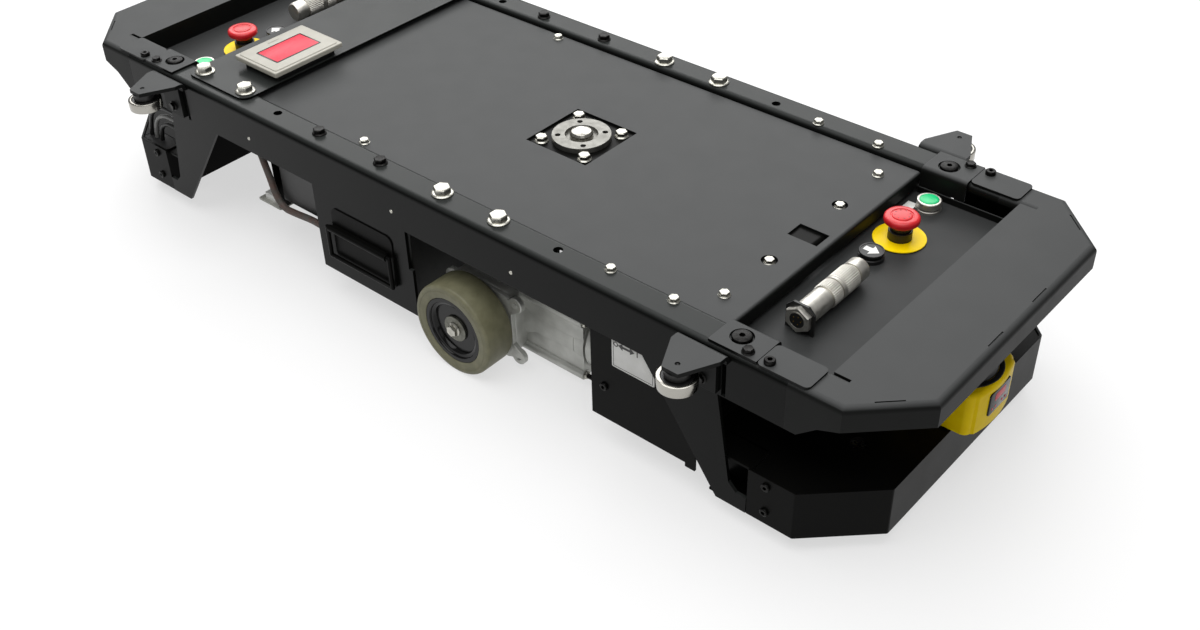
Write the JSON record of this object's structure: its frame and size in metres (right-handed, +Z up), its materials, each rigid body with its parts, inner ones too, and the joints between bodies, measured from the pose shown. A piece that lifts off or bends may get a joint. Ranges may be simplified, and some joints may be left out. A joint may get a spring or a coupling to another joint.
{
  "type": "automated guided vehicle",
  "caption": "Low automated guided vehicle with a flat deck, tow pin, side guide rollers, differential drive wheels, casters, control recesses and scanners at both ends.",
  "frame": {"origin": "on the floor below the middle of the bounding box", "axes": "+X along the length towards the scanner end, +Y to the left, +Z up"},
  "size_m": [1.308, 0.578, 0.239],
  "materials": {
    "black_paint": "satin black powder coat",
    "bright_steel": "ground steel",
    "zinc": "bright zinc plate",
    "black_screws": "black oxide",
    "cast_aluminium": "cast, fine grain",
    "gloss_black": "gloss black",
    "olive_polyurethane": "cast polyurethane",
    "grey_rubber": "matt rubber",
    "yellow_plastic": "moulded",
    "black_plastic": "moulded",
    "red_plastic": "moulded",
    "green_lens": "moulded lens",
    "satin_nickel": "satin nickel plate",
    "ivory_plastic": "moulded",
    "red_window": "tinted window",
    "light_bracket": "light grey paint",
    "cable_sheath": "PVC sheath"
  },
  "bodies": {
    "chassis": {"battery": "black_plastic", "battery_lid": "black_paint", "black_bolts": "black_screws", "button_bezels": "satin_nickel", "caster_plates": "zinc", "controller_boxes": "black_plastic", "corner_plates": "black_paint", "cross_members": "black_paint", "deck_plate": "black_paint", "display_base": "black_paint", "display_bezel": "ivory_plastic", "display_window": "red_window", "drive_units": "cast_aluminium", "end_frames": "black_paint", "head_plate_front": "black_paint", "head_plate_rear": "black_paint", "plug_connectors": "satin_nickel", "recess_pans": "black_paint", "roller_brackets": "black_paint", "roller_studs": "bright_steel", "scanner_bodies": "yellow_plastic", "scanner_domes": "black_plastic", "sensor_bracket": "light_bracket", "side_frame_left": "black_paint", "side_frame_right": "black_paint", "skirt_front": "black_paint", "skirt_rear": "black_paint", "stop_collars": "black_plastic", "stop_legends": "yellow_plastic", "tow_flange": "bright_steel", "tow_lift_unit": "cast_aluminium", "under_panels": "black_paint", "wiring": "cable_sheath", "zinc_bolts": "zinc"},
    "drive_wheel_left": {"drive_hub_left": "gloss_black", "drive_tyre_left": "olive_polyurethane"},
    "drive_wheel_right": {"drive_hub_right": "gloss_black", "drive_tyre_right": "olive_polyurethane"},
    "roller_front_left": {"guide_roller_front_left": "bright_steel"},
    "roller_front_right": {"guide_roller_front_right": "bright_steel"},
    "roller_rear_left": {"guide_roller_rear_left": "bright_steel"},
    "roller_rear_right": {"guide_roller_rear_right": "bright_steel"},
    "caster_front_left": {"caster_fork_front_left": "zinc"},
    "caster_tread_front_left": {"caster_wheel_front_left": "grey_rubber"},
    "caster_front_right": {"caster_fork_front_right": "zinc"},
    "caster_tread_front_right": {"caster_wheel_front_right": "grey_rubber"},
    "caster_rear_left": {"caster_fork_rear_left": "zinc"},
    "caster_tread_rear_left": {"caster_wheel_rear_left": "grey_rubber"},
    "caster_rear_right": {"caster_fork_rear_right": "zinc"},
    "caster_tread_rear_right": {"caster_wheel_rear_right": "grey_rubber"},
    "stop_plunger_front": {"stop_plunger_front": "black_plastic"},
    "stop_cap_front": {"stop_cap_front": "red_plastic"},
    "start_button_front": {"start_button_front": "green_lens"},
    "arrow_button_front": {"arrow_button_front": "black_plastic"},
    "stop_plunger_rear": {"stop_plunger_rear": "black_plastic"},
    "stop_cap_rear": {"stop_cap_rear": "red_plastic"},
    "start_button_rear": {"start_button_rear": "green_lens"},
    "arrow_button_rear": {"arrow_button_rear": "black_plastic"},
    "box_handle": {"box_handle": "black_paint"},
    "tow_pin": {"tow_pin": "bright_steel"}
  },
  "joints": [
    {"name": "drive_wheel_left_turn", "type": "hinge", "parent": "chassis", "child": "drive_wheel_left", "pos_m": [0.076, 0.2154, 0.06], "axis": [0, 1, 0], "continuous": true},
    {"name": "drive_wheel_right_turn", "type": "hinge", "parent": "chassis", "child": "drive_wheel_right", "pos_m": [0.076, -0.2154, 0.06], "axis": [0, 1, 0], "continuous": true},
    {"name": "roller_front_left_turn", "type": "hinge", "parent": "chassis", "child": "roller_front_left", "pos_m": [0.432, 0.268, 0.1988], "axis": [0, 0, 1], "continuous": true},
    {"name": "roller_front_right_turn", "type": "hinge", "parent": "chassis", "child": "roller_front_right", "pos_m": [0.432, -0.268, 0.1988], "axis": [0, 0, 1], "continuous": true},
    {"name": "roller_rear_left_turn", "type": "hinge", "parent": "chassis", "child": "roller_rear_left", "pos_m": [-0.432, 0.268, 0.1988], "axis": [0, 0, 1], "continuous": true},
    {"name": "roller_rear_right_turn", "type": "hinge", "parent": "chassis", "child": "roller_rear_right", "pos_m": [-0.432, -0.268, 0.1988], "axis": [0, 0, 1], "continuous": true},
    {"name": "caster_front_left_swivel", "type": "hinge", "parent": "chassis", "child": "caster_front_left", "pos_m": [0.554, 0.12, 0.072], "axis": [0, 0, 1], "continuous": true},
    {"name": "caster_front_left_turn", "type": "hinge", "parent": "caster_front_left", "child": "caster_tread_front_left", "pos_m": [0.534, 0.12, 0.025], "axis": [0, 1, 0], "continuous": true},
    {"name": "caster_front_right_swivel", "type": "hinge", "parent": "chassis", "child": "caster_front_right", "pos_m": [0.554, -0.12, 0.072], "axis": [0, 0, 1], "continuous": true},
    {"name": "caster_front_right_turn", "type": "hinge", "parent": "caster_front_right", "child": "caster_tread_front_right", "pos_m": [0.534, -0.12, 0.025], "axis": [0, 1, 0], "continuous": true},
    {"name": "caster_rear_left_swivel", "type": "hinge", "parent": "chassis", "child": "caster_rear_left", "pos_m": [-0.554, 0.12, 0.072], "axis": [0, 0, 1], "continuous": true},
    {"name": "caster_rear_left_turn", "type": "hinge", "parent": "caster_rear_left", "child": "caster_tread_rear_left", "pos_m": [-0.574, 0.12, 0.025], "axis": [0, 1, 0], "continuous": true},
    {"name": "caster_rear_right_swivel", "type": "hinge", "parent": "chassis", "child": "caster_rear_right", "pos_m": [-0.554, -0.12, 0.072], "axis": [0, 0, 1], "continuous": true},
    {"name": "caster_rear_right_turn", "type": "hinge", "parent": "caster_rear_right", "child": "caster_tread_rear_right", "pos_m": [-0.574, -0.12, 0.025], "axis": [0, 1, 0], "continuous": true},
    {"name": "stop_front_push", "type": "slide", "parent": "chassis", "child": "stop_plunger_front", "axis": [0, 0, -1], "range_m": [0, 0.005]},
    {"name": "stop_front_twist", "type": "hinge", "parent": "stop_plunger_front", "child": "stop_cap_front", "pos_m": [0.466, 0.083, 0.21], "axis": [0, 0, -1], "range_deg": [0, 40], "stiffness_Nm_per_rad": 0.02},
    {"name": "start_button_front_push", "type": "slide", "parent": "chassis", "child": "start_button_front", "axis": [0, 0, -1], "range_m": [0, 0.003], "stiffness_N_per_m": 600},
    {"name": "arrow_button_front_push", "type": "slide", "parent": "chassis", "child": "arrow_button_front", "axis": [0, 0, -1], "range_m": [0, 0.003], "stiffness_N_per_m": 600},
    {"name": "stop_rear_push", "type": "slide", "parent": "chassis", "child": "stop_plunger_rear", "axis": [0, 0, -1], "range_m": [0, 0.005]},
    {"name": "stop_rear_twist", "type": "hinge", "parent": "stop_plunger_rear", "child": "stop_cap_rear", "pos_m": [-0.466, -0.083, 0.21], "axis": [0, 0, -1], "range_deg": [0, 40], "stiffness_Nm_per_rad": 0.02},
    {"name": "start_button_rear_push", "type": "slide", "parent": "chassis", "child": "start_button_rear", "axis": [0, 0, -1], "range_m": [0, 0.003], "stiffness_N_per_m": 600},
    {"name": "arrow_button_rear_push", "type": "slide", "parent": "chassis", "child": "arrow_button_rear", "axis": [0, 0, -1], "range_m": [0, 0.003], "stiffness_N_per_m": 600},
    {"name": "box_handle_swing", "type": "hinge", "parent": "chassis", "child": "box_handle", "pos_m": [-0.0845, -0.2307, 0.112], "axis": [-1, 0, 0], "range_deg": [0, 100]},
    {"name": "tow_pin_lift", "type": "slide", "parent": "chassis", "child": "tow_pin", "axis": [0, 0, 1], "range_m": [0, 0.035]}
  ]
}
